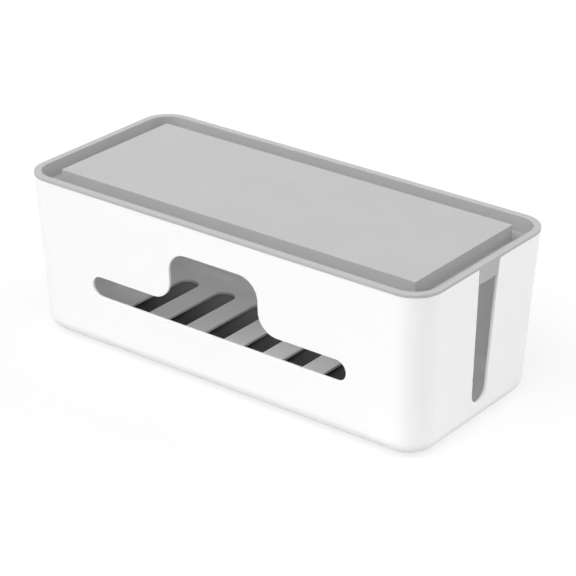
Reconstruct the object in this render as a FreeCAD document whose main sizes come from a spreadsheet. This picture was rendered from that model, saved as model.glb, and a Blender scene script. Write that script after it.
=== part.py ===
import FreeCAD, Part
import math
import os

import Sketcher
from FreeCAD import Placement, Rotation, Vector

# A cable management box: a white tub on four rubber feet, closed by a grey lift-off lid.
# X runs along the box, -Y is the front with the window, and Z = 0 is the table top.

# The sketcher's numbers for an edge's points and for a sketch's own two axes.
START, END, CENTRE = range(1, 4)
H_AXIS, V_AXIS = range(-1, -3, -1)
ORIGIN = (H_AXIS, START)

# Arcs are drawn between angles counted in quarter turns.
QUARTER = math.pi / 2

# Two heights in millimetres closer than this are the same level.
SAME_LEVEL = 1e-4

# Driving sizes: name, value in millimetres, what it measures.
SIZES = [
    ("lid_length", 320.0, "length over the lid's rim"),
    ("lid_width", 146.5, "depth over the lid's rim, front to back"),
    ("lid_corner_radius", 20.3, "corner radius of the rim seen from above"),
    ("rim_thickness", 2.1, "height of the rim's outer edge"),
    ("rim_overhang", 0.3, "how far the rim stands out past the tub"),
    ("lid_edge_radius", 0.4, "rounding of the lid's upper edges"),
    ("skirt_thickness", 1.35, "wall between the groove and the tub"),
    ("lid_clearance", 0.4, "least gap between the lid's skirt and the tub's inside"),
    ("groove_depth", 11.0, "depth of the groove below the rim"),
    ("groove_floor", 2.1, "thickness under the groove"),
    ("groove_width_ends", 13.9, "groove width at the two ends"),
    ("groove_width_front", 14.4, "groove width at the front and back"),
    ("platform_skin", 2.1, "thickness of the raised middle's top and sides"),
    ("tab_clearance", 0.3, "gap on each side of an end tab in its slot"),
    ("tub_height", 112.6, "height of the tub without its feet"),
    ("wall", 2.1, "wall and floor thickness of the tub"),
    ("end_lean", 4.0, "how far each end leans in from top to bottom"),
    ("side_lean", 6.6, "how far the front and back lean in from top to bottom"),
    ("base_edge_radius", 11.2, "rounding round the tub's bottom"),
    ("window_length", 206.0, "overall length of the window's low band"),
    ("window_band_height", 14.8, "height of the low band, with full round ends"),
    ("window_arch_width", 71.6, "width of the raised middle of the window"),
    ("window_arch_rise", 36.6, "height of the raised middle above the band"),
    ("window_arch_corner", 14.5, "upper corner radius of the raised middle"),
    ("window_arch_foot", 14.5, "radius where the raised middle meets the band"),
    ("window_drop", 21.4, "distance from the tub's top edge to the window"),
    ("cord_slot_mouth", 22.7, "width of an end slot just below its mouth"),
    ("cord_slot_radius", 8.25, "radius of an end slot's round bottom"),
    ("cord_slot_bottom", 16.1, "height of an end slot's bottom above the underside"),
    ("mouth_radius", 2.0, "rounding of the slot's upper corners"),
    ("vent_count", 8, "number of vent slots in the floor"),
    ("vent_width", 16.4, "width of a vent slot"),
    ("vent_side_margin", 14.8, "distance from a vent's end to the edge of the base"),
    ("vent_foot_gap", 2.3, "distance from the last vent to a foot's seat"),
    ("foot_diameter", 14.0, "diameter of a rubber foot"),
    ("foot_height", 2.0, "how far a foot stands below the tub"),
    ("foot_edge_radius", 0.6, "rounding of a foot's lower edge"),
    ("seat_depth", 0.6, "how deep a foot sits in the floor"),
    ("seat_clearance", 0.3, "gap round a foot in its seat"),
    ("seat_margin", 3.5, "flat floor between a seat and the bottom rounding"),
    ("cut_overrun", 1.0, "how far a cutting shape runs past the surface"),
]

doc = FreeCAD.newDocument("cable_management_box")
sheet = doc.addObject("Spreadsheet::Sheet", "Sizes")
for row, (name, value, meaning) in enumerate(SIZES, start=1):
    sheet.set(f"A{row}", name)
    sheet.set(f"B{row}", str(value))
    sheet.setAlias(f"B{row}", name)
    sheet.set(f"C{row}", meaning)
doc.recompute()


def size(expression):
    """The number that an expression over the sheet gives."""
    return float(sheet.evalExpression(expression))


def inset(length, distance):
    """A length or width after both its ends move in by a distance."""
    return f"({length}) - 2 * ({distance})"


def tub_outline(level, inward="0"):
    """Length, width and corner radius of the tub's outside at a level above its underside.

    With inward, the same outline moved in by that much, as for the wall's inner face.
    """
    fraction = f"(1 - ({level}) / Sizes.tub_height)"
    reach = "(Sizes.rim_overhang + ({inward}) + Sizes.{lean} * {fraction})"
    along = reach.format(inward=inward, lean="end_lean", fraction=fraction)
    across = reach.format(inward=inward, lean="side_lean", fraction=fraction)
    radius = f"Sizes.lid_corner_radius - Sizes.rim_overhang - ({inward})"
    return inset("Sizes.lid_length", along), inset("Sizes.lid_width", across), radius


# Lengths that more than one piece uses.
RIM_TO_FLOOR = "Sizes.groove_depth + Sizes.groove_floor"
SKIRT_DEPTH = f"({RIM_TO_FLOOR} - Sizes.rim_thickness)"
SKIRT_INWARD = "Sizes.wall + Sizes.lid_clearance"
SKIRT = tub_outline(f"Sizes.tub_height - {SKIRT_DEPTH}", SKIRT_INWARD)
GROOVE = [inset(SKIRT[0], "Sizes.skirt_thickness"), inset(SKIRT[1], "Sizes.skirt_thickness"),
          f"({SKIRT[2]}) - Sizes.skirt_thickness"]
SEAT_RADIUS = "(Sizes.foot_diameter / 2 + Sizes.seat_clearance)"
FOOT_INSET = f"(Sizes.base_edge_radius + Sizes.seat_margin + {SEAT_RADIUS})"
BASE_LENGTH, BASE_WIDTH = tub_outline("0")[:2]
FOOT_X = f"(({BASE_LENGTH}) / 2 - {FOOT_INSET})"
FOOT_Y = f"(({BASE_WIDTH}) / 2 - {FOOT_INSET})"


def new_body(label, height="0", x="0", y="0"):
    """An empty body whose own origin stands at a place set by expressions."""
    body = doc.addObject("PartDesign::Body", label)
    body.Label = label
    body.setExpression("Placement.Base.x", x)
    body.setExpression("Placement.Base.y", y)
    body.setExpression("Placement.Base.z", height)
    return body


def new_sketch(body, name, role, level="0"):
    """A sketch on one of the body's own planes, moved along the plane's normal by level."""
    plane = next(f for f in body.Origin.OriginFeatures if f.Role == role)
    sketch = body.newObject("Sketcher::SketchObject", name)
    sketch.AttachmentSupport = [(plane, "")]
    sketch.MapMode = "FlatFace"
    sketch.AttachmentOffset = Placement(Vector(0, 0, size(level)), Rotation())
    sketch.setExpression("AttachmentOffset.Base.z", level)
    return sketch


def bind(sketch, name, expression, kind, *where):
    """A named dimension of the sketch, tied to an expression over the sheet."""
    index = constrain(sketch, kind, *where, size(expression))
    sketch.renameConstraint(index, name)
    sketch.setExpression(f"Constraints.{name}", expression)


def add_line(sketch, start, end):
    return sketch.addGeometry(Part.LineSegment(Vector(*start, 0), Vector(*end, 0)))


def circle_at(centre, radius):
    return Part.Circle(Vector(*centre, 0), Vector(0, 0, 1), radius)


def add_arc(sketch, centre, radius, first, last):
    """An arc drawn anticlockwise between two angles in quarter turns."""
    circle = circle_at(centre, radius)
    return sketch.addGeometry(Part.ArcOfCircle(circle, first * QUARTER, last * QUARTER))


def constrain(sketch, kind, *where):
    return sketch.addConstraint(Sketcher.Constraint(kind, *where))


def constrain_each(sketch, kind, edges):
    """The same constraint on each of several edges."""
    for edge in edges:
        constrain(sketch, kind, edge)


def join(sketch, order, smooth=True):
    """Joins each edge's end to the next one's start, tangent where smooth."""
    kind = "Tangent" if smooth else "Coincident"
    for edge, following in zip(order, order[1:] + order[:1]):
        constrain(sketch, kind, edge, END, following, START)


def rounded_rectangle(sketch, length, width, radius):
    """A rectangle with round corners about the sketch's origin."""
    x, y, r = size(length) / 2, size(width) / 2, size(radius)
    front = add_line(sketch, (-x + r, -y), (x - r, -y))
    corners = [add_arc(sketch, (x - r, -y + r), r, 3, 4)]
    right = add_line(sketch, (x, -y + r), (x, y - r))
    corners.append(add_arc(sketch, (x - r, y - r), r, 0, 1))
    back = add_line(sketch, (x - r, y), (-x + r, y))
    corners.append(add_arc(sketch, (-x + r, y - r), r, 1, 2))
    left = add_line(sketch, (-x, y - r), (-x, -y + r))
    corners.append(add_arc(sketch, (-x + r, -y + r), r, 2, 3))
    join(sketch, [front, corners[0], right, corners[1], back, corners[2], left, corners[3]])
    constrain_each(sketch, "Horizontal", (front, back))
    constrain_each(sketch, "Vertical", (right, left))
    for corner in corners[1:]:
        constrain(sketch, "Equal", corners[0], corner)
    centres = (corners[0], CENTRE, corners[2], CENTRE)
    constrain(sketch, "Symmetric", *centres, *ORIGIN)
    bind(sketch, "radius", radius, "Radius", corners[0])
    bind(sketch, "length", length, "DistanceX", left, START, right, START)
    bind(sketch, "width", width, "DistanceY", front, START, back, START)


def rectangle(sketch, length, width, prefix=""):
    """A rectangle with sharp corners about the sketch's origin."""
    x, y = size(length) / 2, size(width) / 2
    corners = [(-x, -y), (x, -y), (x, y), (-x, y)]
    edges = [add_line(sketch, a, b) for a, b in zip(corners, corners[1:] + corners[:1])]
    front, right, back, left = edges
    join(sketch, edges, smooth=False)
    constrain_each(sketch, "Horizontal", (front, back))
    constrain_each(sketch, "Vertical", (right, left))
    constrain(sketch, "Symmetric", front, START, back, START, *ORIGIN)
    bind(sketch, f"{prefix}length", length, "DistanceX", front, START, front, END)
    bind(sketch, f"{prefix}width", width, "DistanceY", right, START, right, END)


def polygon(sketch, corners, prefix="corner"):
    """Straight edges through corners, each placed by a pair of expressions."""
    points = [(size(x), size(y)) for x, y in corners]
    edges = [add_line(sketch, a, b) for a, b in zip(points, points[1:] + points[:1])]
    join(sketch, edges, smooth=False)
    for number, (edge, (x, y)) in enumerate(zip(edges, corners)):
        bind(sketch, f"{prefix}_x{number}", x, "DistanceX", *ORIGIN, edge, START)
        bind(sketch, f"{prefix}_y{number}", y, "DistanceY", *ORIGIN, edge, START)


def slot_sides(sketch, inward, foot_level, top_level):
    """The two leaning sides of an end slot with its flared mouth, moved in by inward.

    The sides are tangent to the slot's round bottom and to the two mouth corners.
    """
    bottom_radius = f"Sizes.cord_slot_radius - ({inward})"
    flare_radius = f"Sizes.mouth_radius + ({inward})"
    bottom_centre = "Sizes.cord_slot_bottom + Sizes.cord_slot_radius"
    flare_level = f"({top_level}) - Sizes.mouth_radius"
    flare_x = size("Sizes.cord_slot_mouth / 2 + Sizes.mouth_radius")
    flare_z, flare_r = size(flare_level), size(flare_radius)
    foot_x, foot_z = size(bottom_radius), size(foot_level)
    right = add_line(sketch, (foot_x, foot_z), (flare_x - flare_r, flare_z))
    right_flare = add_arc(sketch, (flare_x, flare_z), flare_r, 1, 2)
    left_flare = add_arc(sketch, (-flare_x, flare_z), flare_r, 0, 1)
    left = add_line(sketch, (-flare_x + flare_r, flare_z), (-foot_x, foot_z))
    constrain(sketch, "Tangent", right, END, right_flare, END)
    constrain(sketch, "Tangent", left, START, left_flare, START)
    constrain(sketch, "Equal", right_flare, left_flare)
    for flare, tip in ((right_flare, START), (left_flare, END)):
        constrain(sketch, "Vertical", flare, CENTRE, flare, tip)
    centres = (right_flare, CENTRE, left_flare, CENTRE)
    constrain(sketch, "Symmetric", *centres, V_AXIS)
    bind(sketch, "flare_radius", flare_radius, "Radius", right_flare)
    bind(sketch, "flare_level", flare_level, "DistanceY", *ORIGIN, right_flare, CENTRE)
    spread = "Sizes.cord_slot_mouth + 2 * Sizes.mouth_radius"
    bind(sketch, "spread", spread, "DistanceX", left_flare, CENTRE, right_flare, CENTRE)
    return right, right_flare, left_flare, left, bottom_radius, bottom_centre


def check_change(before, feature, sign):
    """Stops when a cut took nothing away or an addition added nothing."""
    change = (feature.Shape.Volume - before) * sign
    if change <= 0:
        raise RuntimeError(f"{feature.Name} changed the volume by {change:.1f} mm3")


def extrude(body, kind, name, sketch, length, reverse=False, symmetric=False):
    """A pad or pocket of the sketch, which must change the body in its own direction."""
    before = body.Tip.Shape.Volume if body.Tip else 0
    feature = body.newObject(f"PartDesign::{kind}", name)
    feature.Profile = sketch
    feature.Reversed = reverse
    if symmetric:
        feature.SideType = "Symmetric"
    feature.setExpression("Length", length)
    doc.recompute()
    check_change(before, feature, 1 if kind == "Pad" else -1)
    return feature


def edges_between(shape, low, high):
    """Names of the edges that run from one level of the body to another."""
    found = []
    for number, edge in enumerate(shape.Edges, start=1):
        box = edge.BoundBox
        if abs(box.ZMin - low) < SAME_LEVEL and abs(box.ZMax - high) < SAME_LEVEL:
            found.append(f"Edge{number}")
    return found


def round_edges(body, name, radius, low, high):
    """Rounds the edges that run between two levels, or lie flat where these are the same."""
    base = body.Tip
    fillet = body.newObject("PartDesign::Fillet", name)
    fillet.Base = (base, edges_between(base.Shape, low, high))
    fillet.setExpression("Radius", radius)
    doc.recompute()
    check_change(base.Shape.Volume, fillet, -1)
    return fillet


# The tub: a leaning shell with a window in front, a cord slot in each end and vents below.
tub = new_body("outer_box", height="Sizes.foot_height")


def side_trim(side):
    """What the tub's leaning front or back face leaves of a straight block."""
    low, high = "-Sizes.cut_overrun", RIM_OVER
    low_y = f"{side} * ({tub_outline(low)[1]}) / 2"
    high_y = f"{side} * ({tub_outline(high)[1]}) / 2"
    past = f"{side} * (Sizes.lid_width / 2 + Sizes.cut_overrun)"
    return [(low_y, low), (high_y, high), (past, high), (past, low)]


RIM_OVER = "Sizes.tub_height + Sizes.cut_overrun"
TOP_LENGTH, TOP_WIDTH, TOP_RADIUS = tub_outline("Sizes.tub_height")
sketch = new_sketch(tub, "front_outline", "XZ_Plane")
front_corners = [
    (f"-({BASE_LENGTH}) / 2", "0"),
    (f"({BASE_LENGTH}) / 2", "0"),
    (f"({TOP_LENGTH}) / 2", "Sizes.tub_height"),
    (f"-({TOP_LENGTH}) / 2", "Sizes.tub_height"),
]
polygon(sketch, front_corners)
extrude(tub, "Pad", "block", sketch, TOP_WIDTH, symmetric=True)
sketch = new_sketch(tub, "side_trims", "YZ_Plane")
for prefix, side in (("front", -1), ("back", 1)):
    polygon(sketch, side_trim(side), prefix)
extrude(tub, "Pocket", "leaning_sides", sketch, "Sizes.lid_length", symmetric=True)
tub_height = size("Sizes.tub_height")
round_edges(tub, "corner_rounding", TOP_RADIUS, 0, tub_height)
solid = round_edges(tub, "bottom_rounding", "Sizes.base_edge_radius", 0, 0)
upper = next(
    f"Face{number}" for number, face in enumerate(solid.Shape.Faces, start=1)
    if face.BoundBox.ZMin > tub_height - SAME_LEVEL
)
shell = tub.newObject("PartDesign::Thickness", "shell")
shell.Base = (solid, [upper])
shell.Reversed = True
shell.setExpression("Value", "Sizes.wall")
doc.recompute()
check_change(solid.Shape.Volume, shell, -1)


def window_outline(sketch):
    """A low band with round ends and a raised middle with round shoulders."""
    band_r = size("Sizes.window_band_height / 2")
    reach = size("Sizes.window_length / 2") - band_r
    half = size("Sizes.window_arch_width / 2")
    corner = size("Sizes.window_arch_corner")
    foot = size("Sizes.window_arch_foot")
    top = size("Sizes.tub_height - Sizes.window_drop")
    band_top = top - size("Sizes.window_arch_rise")
    low = band_top - 2 * band_r
    middle = band_top - band_r
    bottom = add_line(sketch, (-reach, low), (reach, low))
    end_right = add_arc(sketch, (reach, middle), band_r, -1, 1)
    top_right = add_line(sketch, (reach, band_top), (half + foot, band_top))
    foot_right = add_arc(sketch, (half + foot, band_top + foot), foot, 2, 3)
    side_right = add_line(sketch, (half, band_top + foot), (half, top - corner))
    corner_right = add_arc(sketch, (half - corner, top - corner), corner, 0, 1)
    arch_top = add_line(sketch, (half - corner, top), (-half + corner, top))
    corner_left = add_arc(sketch, (-half + corner, top - corner), corner, 1, 2)
    side_left = add_line(sketch, (-half, top - corner), (-half, band_top + foot))
    foot_left = add_arc(sketch, (-half - foot, band_top + foot), foot, 3, 4)
    top_left = add_line(sketch, (-half - foot, band_top), (-reach, band_top))
    end_left = add_arc(sketch, (-reach, middle), band_r, 1, 3)
    # The two concave arcs are met against their drawing direction.
    meetings = [
        (bottom, END, end_right, START), (end_right, END, top_right, START),
        (top_right, END, foot_right, END), (foot_right, START, side_right, START),
        (side_right, END, corner_right, START), (corner_right, END, arch_top, START),
        (arch_top, END, corner_left, START), (corner_left, END, side_left, START),
        (side_left, END, foot_left, END), (foot_left, START, top_left, START),
        (top_left, END, end_left, START), (end_left, END, bottom, START),
    ]
    for meeting in meetings:
        constrain(sketch, "Tangent", *meeting)
    constrain_each(sketch, "Horizontal", (top_right, top_left))
    constrain_each(sketch, "Vertical", (side_right, side_left))
    for edge in (bottom, arch_top):
        constrain(sketch, "Symmetric", edge, START, edge, END, V_AXIS)
    for one, other in ((end_right, end_left), (foot_right, foot_left), (corner_right, corner_left)):
        constrain(sketch, "Equal", one, other)
    level = "Sizes.tub_height - Sizes.window_drop"
    straight = "Sizes.window_length - Sizes.window_band_height"
    bind(sketch, "top", level, "DistanceY", *ORIGIN, arch_top, START)
    bind(sketch, "rise", "Sizes.window_arch_rise", "DistanceY", top_right, START, arch_top, START)
    bind(sketch, "band", "Sizes.window_band_height / 2", "Radius", end_right)
    bind(sketch, "straight", straight, "DistanceX", bottom, START, bottom, END)
    bind(sketch, "arch", "Sizes.window_arch_width", "DistanceX", side_left, START, side_right, END)
    bind(sketch, "corner", "Sizes.window_arch_corner", "Radius", corner_right)
    bind(sketch, "foot", "Sizes.window_arch_foot", "Radius", foot_right)


sketch = new_sketch(tub, "window_outline", "XZ_Plane")
window_outline(sketch)
past_front = "Sizes.lid_width / 2 + Sizes.cut_overrun"
extrude(tub, "Pocket", "window", sketch, past_front, reverse=True)


def cord_slot_outline(sketch):
    """An end slot: round bottom, leaning sides and a flared mouth at the tub's top edge."""
    foot_level = "Sizes.cord_slot_bottom + Sizes.cord_slot_radius"
    sides = slot_sides(sketch, "0", foot_level, "Sizes.tub_height")
    right, right_flare, left_flare, left, radius, centre = sides
    bottom = add_arc(sketch, (0, size(centre)), size(radius), 2, 4)
    constrain(sketch, "Tangent", bottom, END, right, START)
    constrain(sketch, "Tangent", left, END, bottom, START)
    flare_x = size("Sizes.cord_slot_mouth / 2 + Sizes.mouth_radius")
    top, over = size("Sizes.tub_height"), size(RIM_OVER)
    rise_right = add_line(sketch, (flare_x, top), (flare_x, over))
    lid_line = add_line(sketch, (flare_x, over), (-flare_x, over))
    rise_left = add_line(sketch, (-flare_x, over), (-flare_x, top))
    meetings = [
        (right_flare, START, rise_right, START), (rise_right, END, lid_line, START),
        (lid_line, END, rise_left, START), (rise_left, END, left_flare, END),
    ]
    for meeting in meetings:
        constrain(sketch, "Coincident", *meeting)
    constrain(sketch, "Horizontal", lid_line)
    constrain_each(sketch, "Vertical", (rise_right, rise_left))
    constrain(sketch, "PointOnObject", bottom, CENTRE, V_AXIS)
    bind(sketch, "bottom_radius", radius, "Radius", bottom)
    bind(sketch, "bottom_centre", centre, "DistanceY", *ORIGIN, bottom, CENTRE)
    bind(sketch, "overrun", "Sizes.cut_overrun", "DistanceY", rise_right, START, rise_right, END)


sketch = new_sketch(tub, "cord_slot_outline", "YZ_Plane")
cord_slot_outline(sketch)
extrude(tub, "Pocket", "cord_slots", sketch, "Sizes.lid_length", symmetric=True)


def vent_outline(sketch, x, length, width):
    """A slot along Y with round ends."""
    middle, reach, r = size(x), size(length) / 2 - size(width) / 2, size(width) / 2
    right = add_line(sketch, (middle + r, -reach), (middle + r, reach))
    back = add_arc(sketch, (middle, reach), r, 0, 2)
    left = add_line(sketch, (middle - r, reach), (middle - r, -reach))
    front = add_arc(sketch, (middle, -reach), r, 2, 4)
    join(sketch, [right, back, left, front])
    constrain(sketch, "Vertical", right)
    constrain(sketch, "Equal", back, front)
    half = f"(({length}) - ({width})) / 2"
    bind(sketch, "radius", f"({width}) / 2", "Radius", back)
    bind(sketch, "x", x, "DistanceX", *ORIGIN, back, CENTRE)
    bind(sketch, "back_reach", half, "DistanceY", *ORIGIN, back, CENTRE)
    bind(sketch, "front_reach", half, "DistanceY", front, CENTRE, *ORIGIN)


# The vents fill the floor between the feet at an even pitch.
vent_reach = f"({FOOT_X} - {SEAT_RADIUS} - Sizes.vent_foot_gap - Sizes.vent_width / 2)"
vent_length = inset(BASE_WIDTH, "Sizes.vent_side_margin")
sketch = new_sketch(tub, "vent_outline", "XY_Plane")
vent_outline(sketch, f"-{vent_reach}", vent_length, "Sizes.vent_width")
floor_over = "Sizes.wall + Sizes.cut_overrun"
vent = extrude(tub, "Pocket", "vent", sketch, floor_over, reverse=True)
vents = tub.newObject("PartDesign::LinearPattern", "vents")
vents.Originals = [vent]
vents.Direction = (sketch, ["H_Axis"])
vents.setExpression("Length", f"2 * {vent_reach}")
vents.setExpression("Occurrences", "Sizes.vent_count")
tub.Tip = vents
doc.recompute()
check_change(vent.Shape.Volume, vents, -1)

# The places of the four feet: name, side along X, side along Y.
FEET = [
    ("foot_front_left", -1, -1),
    ("foot_front_right", 1, -1),
    ("foot_back_right", 1, 1),
    ("foot_back_left", -1, 1),
]


def seat_circles(sketch):
    """One circle round each foot."""
    x, y, r = size(FOOT_X), size(FOOT_Y), size(SEAT_RADIUS)
    circles = []
    for _, along, across in FEET:
        circles.append(sketch.addGeometry(circle_at((along * x, across * y), r)))
    front_left, front_right, back_right, back_left = circles
    for circle in circles[1:]:
        constrain(sketch, "Equal", front_left, circle)
    for left, right in ((front_left, front_right), (back_left, back_right)):
        constrain(sketch, "Symmetric", left, CENTRE, right, CENTRE, V_AXIS)
    bind(sketch, "radius", SEAT_RADIUS, "Radius", front_left)
    bind(sketch, "front_x", FOOT_X, "DistanceX", *ORIGIN, front_right, CENTRE)
    bind(sketch, "back_x", FOOT_X, "DistanceX", *ORIGIN, back_right, CENTRE)
    bind(sketch, "front_y", FOOT_Y, "DistanceY", front_right, CENTRE, *ORIGIN)
    bind(sketch, "back_y", FOOT_Y, "DistanceY", *ORIGIN, back_right, CENTRE)


sketch = new_sketch(tub, "seat_circles", "XY_Plane")
seat_circles(sketch)
extrude(tub, "Pocket", "foot_seats", sketch, "Sizes.seat_depth", reverse=True)

# The lid: its own Z = 0 is the rim's underside, which rests on the tub's top edge.
lid = new_body("lid", height="Sizes.foot_height + Sizes.tub_height")
sketch = new_sketch(lid, "skirt_outline", "XY_Plane")
rounded_rectangle(sketch, *SKIRT)
extrude(lid, "Pad", "skirt", sketch, SKIRT_DEPTH, reverse=True)
sketch = new_sketch(lid, "rim_outline", "XY_Plane")
rounded_rectangle(sketch, "Sizes.lid_length", "Sizes.lid_width", "Sizes.lid_corner_radius")
extrude(lid, "Pad", "rim", sketch, "Sizes.rim_thickness")

# The groove runs round a raised middle that is level with the rim and hollow below.
platform_length = inset(GROOVE[0], "Sizes.groove_width_ends")
platform_width = inset(GROOVE[1], "Sizes.groove_width_front")
sketch = new_sketch(lid, "groove_outline", "XY_Plane", "Sizes.rim_thickness")
rounded_rectangle(sketch, *GROOVE)
rectangle(sketch, platform_length, platform_width, "platform_")
extrude(lid, "Pocket", "groove", sketch, "Sizes.groove_depth")
hollow_length = inset(platform_length, "Sizes.platform_skin")
hollow_width = inset(platform_width, "Sizes.platform_skin")
hollow_depth = f"{RIM_TO_FLOOR} - Sizes.platform_skin"
sketch = new_sketch(lid, "hollow_outline", "XY_Plane", f"-{SKIRT_DEPTH}")
rectangle(sketch, hollow_length, hollow_width)
extrude(lid, "Pocket", "hollow", sketch, hollow_depth, reverse=True)


def tab_outline(sketch):
    """What fills a cord slot's mouth, from the rim down to the skirt's lower edge."""
    foot_level = f"-{SKIRT_DEPTH}"
    sides = slot_sides(sketch, "Sizes.tab_clearance", foot_level, "0")
    right, right_flare, left_flare, left, radius, centre = sides
    slot_centre = f"({centre}) - Sizes.tub_height"
    slot_bottom = sketch.addGeometry(circle_at((0, size(slot_centre)), size(radius)), True)
    for edge in (right, left):
        constrain(sketch, "Tangent", edge, slot_bottom)
    lower = add_line(sketch, (-size(radius), size(foot_level)), (size(radius), size(foot_level)))
    flare_x = size("Sizes.cord_slot_mouth / 2 + Sizes.mouth_radius")
    upper_level = size("Sizes.tab_clearance")
    upper = add_line(sketch, (flare_x, upper_level), (-flare_x, upper_level))
    meetings = [
        (lower, END, right, START), (right_flare, START, upper, START),
        (upper, END, left_flare, END), (left, END, lower, START),
    ]
    for meeting in meetings:
        constrain(sketch, "Coincident", *meeting)
    constrain(sketch, "Horizontal", lower)
    constrain(sketch, "PointOnObject", slot_bottom, CENTRE, V_AXIS)
    bind(sketch, "bottom_radius", radius, "Radius", slot_bottom)
    bind(sketch, "bottom_centre", slot_centre, "DistanceY", *ORIGIN, slot_bottom, CENTRE)
    bind(sketch, "foot_level", foot_level, "DistanceY", *ORIGIN, lower, START)


# Each tab starts inside the skirt's wall and ends level with the tub's leaning outer face.
tab_start = f"(({SKIRT[0]}) - Sizes.skirt_thickness) / 2"
tab_end = f"({TOP_LENGTH}) / 2"
sketch = new_sketch(lid, "tab_outline", "YZ_Plane", tab_start)
tab_outline(sketch)
tab = extrude(lid, "Pad", "tab", sketch, f"{tab_end} - {tab_start}")
trim_level = f"-({SKIRT_DEPTH} + Sizes.cut_overrun)"
outer_low = tub_outline(f"Sizes.tub_height + {trim_level}")[0]
past_tab = f"{tab_end} + Sizes.cut_overrun"
sketch = new_sketch(lid, "tab_trim_outline", "XZ_Plane")
trim_corners = [
    (tab_end, "0"),
    (f"({outer_low}) / 2", trim_level),
    (past_tab, trim_level),
    (past_tab, "0"),
]
polygon(sketch, trim_corners)
trim_length = "2 * (Sizes.cord_slot_mouth + Sizes.mouth_radius)"
trim = extrude(lid, "Pocket", "tab_trim", sketch, trim_length, symmetric=True)
second_tab = lid.newObject("PartDesign::Mirrored", "second_tab")
second_tab.Originals = [tab, trim]
second_tab.MirrorPlane = (sketch, ["V_Axis"])
lid.Tip = second_tab
doc.recompute()
check_change(trim.Shape.Volume, second_tab, 1)
rim_top = size("Sizes.rim_thickness")
round_edges(lid, "upper_edges", "Sizes.lid_edge_radius", rim_top, rim_top)


def make_foot(label, along, across):
    """A rubber disc that sits in a shallow seat and carries the tub."""
    body = new_body(label, x=f"{along} * {FOOT_X}", y=f"{across} * {FOOT_Y}")
    sketch = new_sketch(body, f"{label}_outline", "XY_Plane")
    radius = "Sizes.foot_diameter / 2"
    circle = sketch.addGeometry(circle_at((0, 0), size(radius)))
    constrain(sketch, "Coincident", circle, CENTRE, *ORIGIN)
    bind(sketch, "radius", radius, "Radius", circle)
    thickness = "Sizes.foot_height + Sizes.seat_depth"
    extrude(body, "Pad", f"{label}_disc", sketch, thickness)
    round_edges(body, f"{label}_edge", "Sizes.foot_edge_radius", 0, 0)
    return body


feet = [make_foot(*foot) for foot in FEET]

doc.recompute()
pieces = [tub, lid, *feet]
for item in doc.Objects:
    if any(word in item.State for word in ("Invalid", "Error")):
        raise RuntimeError(f"{item.Label} did not compute: {item.State}")
    if item.isDerivedFrom("Sketcher::SketchObject") and not item.FullyConstrained:
        raise RuntimeError(f"{item.Label} has loose geometry")
for piece in pieces:
    if piece.Shape.isNull() or not piece.Shape.isValid() or len(piece.Shape.Solids) != 1:
        raise RuntimeError(f"{piece.Label} is not one valid solid")

os.makedirs("parts", exist_ok=True)
for piece in pieces:
    box = piece.Shape.optimalBoundingBox()
    piece.Shape.exportStep(f"parts/{piece.Label}.step")
    print(f"{piece.Label}: {box.XLength:.2f} x {box.YLength:.2f} x {box.ZLength:.2f} mm,",
          f"from z = {box.ZMin:.2f}, {piece.Shape.Volume / 1000:.2f} cm3")
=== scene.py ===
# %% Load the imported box
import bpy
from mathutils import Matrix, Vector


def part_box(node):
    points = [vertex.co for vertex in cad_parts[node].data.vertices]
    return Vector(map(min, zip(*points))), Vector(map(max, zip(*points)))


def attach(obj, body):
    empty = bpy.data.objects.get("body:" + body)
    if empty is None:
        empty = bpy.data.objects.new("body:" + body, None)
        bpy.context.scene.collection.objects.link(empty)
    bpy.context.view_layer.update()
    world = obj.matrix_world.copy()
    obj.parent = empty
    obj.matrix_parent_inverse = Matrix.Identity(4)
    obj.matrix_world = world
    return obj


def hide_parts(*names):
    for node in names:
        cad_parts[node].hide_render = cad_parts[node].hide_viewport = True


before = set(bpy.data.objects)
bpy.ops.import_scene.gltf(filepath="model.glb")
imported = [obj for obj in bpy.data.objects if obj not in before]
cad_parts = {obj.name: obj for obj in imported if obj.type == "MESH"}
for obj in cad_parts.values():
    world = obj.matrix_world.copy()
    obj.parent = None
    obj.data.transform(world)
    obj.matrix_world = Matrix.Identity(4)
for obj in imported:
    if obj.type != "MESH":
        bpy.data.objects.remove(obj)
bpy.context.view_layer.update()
print("nodes of the packed model:", sorted(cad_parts))

# %% [markdown]
# # A cable management box
# The real box is two moulded shells: a white tub that leans in towards its base, and a grey
# lid that drops into its mouth, with a groove all round where a phone or a pen can stand.
# Four rubber feet lift the tub by 2 mm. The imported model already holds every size, so each
# shell is modelled again by hand over it, with the small rounded edges that a mould leaves.
# After that come the surfaces, the floor and the light.

# %% Modules, and the places of the two shells
import math

import bmesh
import bpy
from mathutils import Matrix, Vector

MM = 0.001
tub_low, tub_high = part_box("outer_box")
lid_low, lid_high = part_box("lid")
print("tub in mm:", [round(v / MM, 2) for v in tub_high - tub_low])
print("lid in mm:", [round(v / MM, 2) for v in lid_high - lid_low])

# %% [markdown]
# ## The camera
# A product picture is taken from far away with a long lens, so the box keeps nearly parallel
# sides. The camera is placed as a photographer speaks of it: how far round from the front it
# stands, how high above the table, how far away, and how much it is tipped. A constraint
# that tracks an empty would do as well, but plain vectors leave nothing live in the file.

# %% Which way the camera looks
TARGET = Vector((0, 0, 0.050))
AZIMUTH, ELEVATION, ROLL = (math.radians(a) for a in (36.968, 25.319, 0.563))


def direction(azimuth, elevation):
    """From the box towards a place: azimuth turns from its front to its right end."""
    return Vector((
        math.sin(azimuth) * math.cos(elevation),
        -math.cos(azimuth) * math.cos(elevation),
        math.sin(elevation),
    ))


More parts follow.
